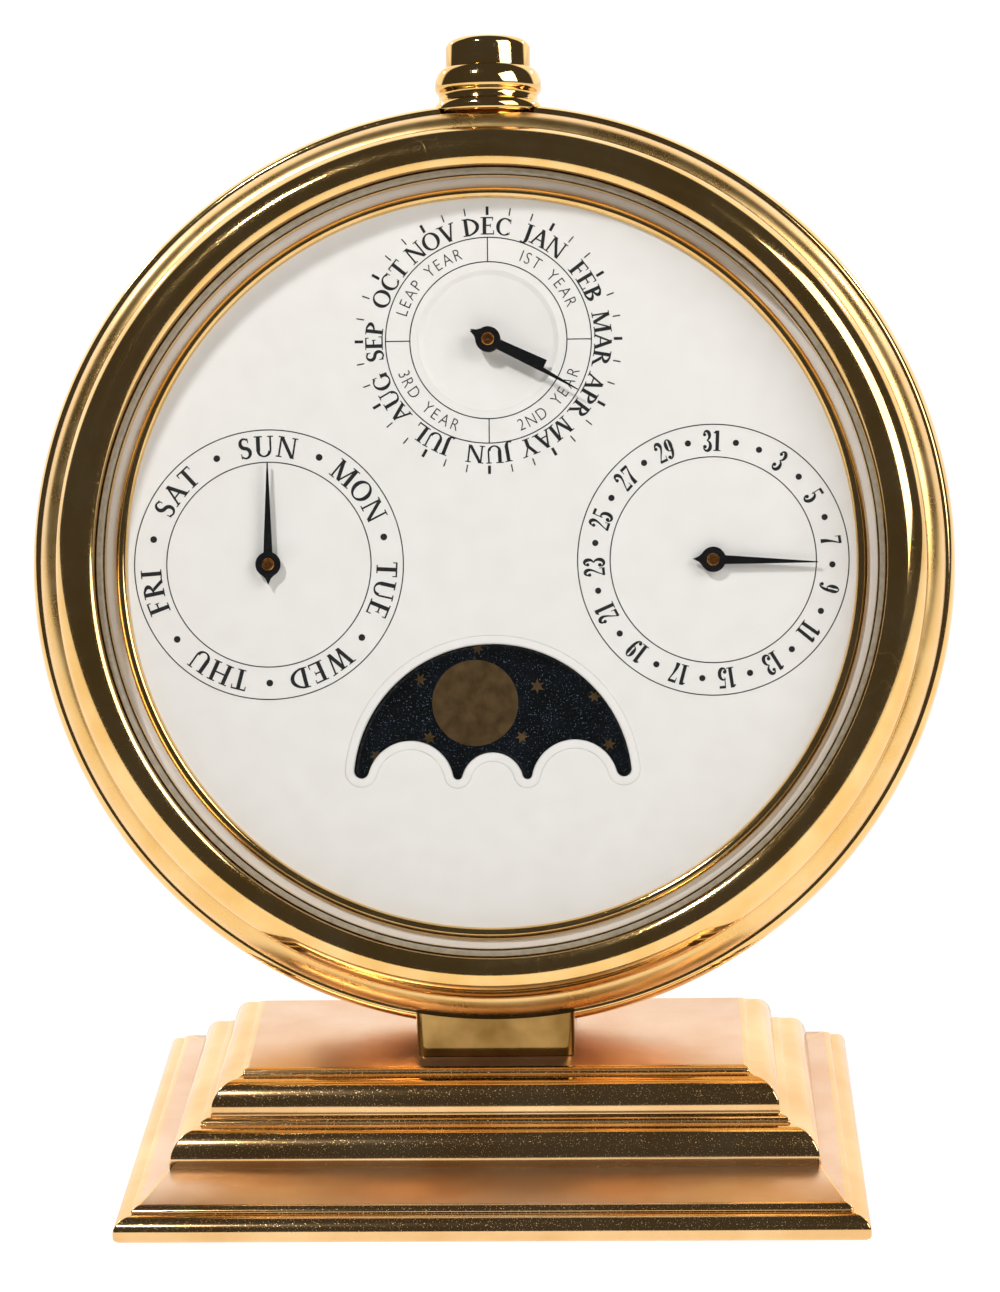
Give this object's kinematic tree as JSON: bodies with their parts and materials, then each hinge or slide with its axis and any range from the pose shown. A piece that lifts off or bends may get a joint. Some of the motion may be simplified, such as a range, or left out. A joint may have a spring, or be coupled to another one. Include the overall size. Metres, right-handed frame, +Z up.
{
  "type": "perpetual desk calendar",
  "caption": "Round gilt perpetual calendar leaning on a stepped plinth, with day, date, month and moon displays and a push button on top",
  "frame": {"origin": "centre of the base pad's flat underside, on the surface the calendar stands on", "axes": "+Z up, -Y towards the viewer in front of the dial, +X to the viewer's right"},
  "size_m": [0.105, 0.0655, 0.1235],
  "materials": {
    "gilt": "polished gilt brass",
    "felt": "dark green felt",
    "steel": "bright steel",
    "crystal": "clear flat glass",
    "gasket": "soft grey",
    "dial_white": "matt warm white paint",
    "movement_brass": "plain brass",
    "hand_black": "satin black",
    "moon_enamel": "glossy night-blue enamel"
  },
  "bodies": {
    "case": {"plinth": "gilt", "base_pad": "felt", "neck_saddle": "gilt", "stand_screw_left": "steel", "stand_screw_right": "steel", "case_band": "gilt", "bezel": "gilt", "crystal": "crystal", "crystal_gasket": "gasket", "dial_ring": "gilt", "dial": "dial_white", "main_plate": "movement_brass", "rear_plate": "movement_brass", "pillar_1": "movement_brass", "pillar_2": "movement_brass", "pillar_3": "movement_brass", "pillar_screw_1": "steel", "pillar_screw_2": "steel", "pillar_screw_3": "steel", "day_jumper": "steel", "date_jumper": "steel", "moon_jumper": "steel", "month_jumper": "steel", "lever_post": "steel", "lever_spring": "steel", "back_cover": "gilt", "back_screw_1": "steel", "back_screw_2": "steel", "back_screw_3": "steel", "back_screw_4": "steel", "pendant": "gilt", "return_spring": "steel"},
    "button": {"push_button": "gilt", "button_stem": "steel", "push_yoke": "steel"},
    "lever": {"operating_lever": "steel", "day_pawl": "steel", "date_pawl": "steel", "moon_pawl": "steel"},
    "day": {"day_star": "steel", "day_arbor": "movement_brass", "day_hand": "hand_black"},
    "date": {"date_wheel": "movement_brass", "date_arbor": "movement_brass", "date_finger": "steel", "date_hand": "hand_black"},
    "month": {"month_arbor": "movement_brass", "month_pinion": "steel", "month_wheel": "movement_brass", "month_hand": "hand_black"},
    "transfer": {"transfer_wheel": "movement_brass"},
    "intermediate": {"intermediate_wheel": "movement_brass", "intermediate_arbor": "steel"},
    "year": {"year_wheel": "movement_brass", "year_cam": "steel", "year_hand": "hand_black"},
    "moon": {"moon_arbor": "movement_brass", "moon_wheel": "movement_brass", "moon_disc": "moon_enamel"}
  },
  "joints": [
    {"name": "button_push", "type": "slide", "parent": "case", "child": "button", "axis": [0, -0.2974, -0.9548], "range_m": [0, 0.0025], "stiffness_N_per_m": 400, "springref_m": -0.001, "deforming": ["return_spring"]},
    {"name": "lever_swing", "type": "hinge", "parent": "case", "child": "lever", "pos_m": [-0.0011, 0.01345, 0.07641], "axis": [0, -0.9548, 0.2974], "range_deg": [0, 7]},
    {"name": "moon_spin", "type": "hinge", "parent": "case", "child": "moon", "pos_m": [0, 0.00296, 0.04271], "axis": [0, 0.9548, -0.2974], "continuous": true},
    {"name": "day_spin", "type": "hinge", "parent": "case", "child": "day", "pos_m": [-0.025, 0.01036, 0.06648], "axis": [0, 0.9548, -0.2974], "continuous": true},
    {"name": "date_spin", "type": "hinge", "parent": "case", "child": "date", "pos_m": [0.025, 0.01036, 0.06648], "axis": [0, 0.9548, -0.2974], "continuous": true},
    {"name": "month_spin", "type": "hinge", "parent": "case", "child": "month", "pos_m": [0, 0.01779, 0.09035], "axis": [0, 0.9548, -0.2974], "continuous": true},
    {"name": "transfer_spin", "type": "hinge", "parent": "case", "child": "transfer", "pos_m": [0.01188, 0.01426, 0.07901], "axis": [0, 0.9548, -0.2974], "continuous": true},
    {"name": "intermediate_spin", "type": "hinge", "parent": "case", "child": "intermediate", "pos_m": [-0.00742, 0.02, 0.09744], "axis": [0, 0.9548, -0.2974], "continuous": true},
    {"name": "year_spin", "type": "hinge", "parent": "case", "child": "year", "pos_m": [0, 0.01779, 0.09035], "axis": [0, 0.9548, -0.2974], "continuous": true}
  ],
  "couplings": [
    {"joint": "lever_swing", "follows": "button_push", "rad_per_m": 48.077},
    {"joint": "day_spin", "follows": "moon_spin", "ratio": 8.4286},
    {"joint": "date_spin", "follows": "moon_spin", "ratio": 1.9032},
    {"joint": "month_spin", "follows": "moon_spin", "ratio": 0.16153},
    {"joint": "transfer_spin", "follows": "moon_spin", "ratio": -0.16153},
    {"joint": "intermediate_spin", "follows": "moon_spin", "ratio": -0.080767},
    {"joint": "year_spin", "follows": "moon_spin", "ratio": 0.040383}
  ]
}
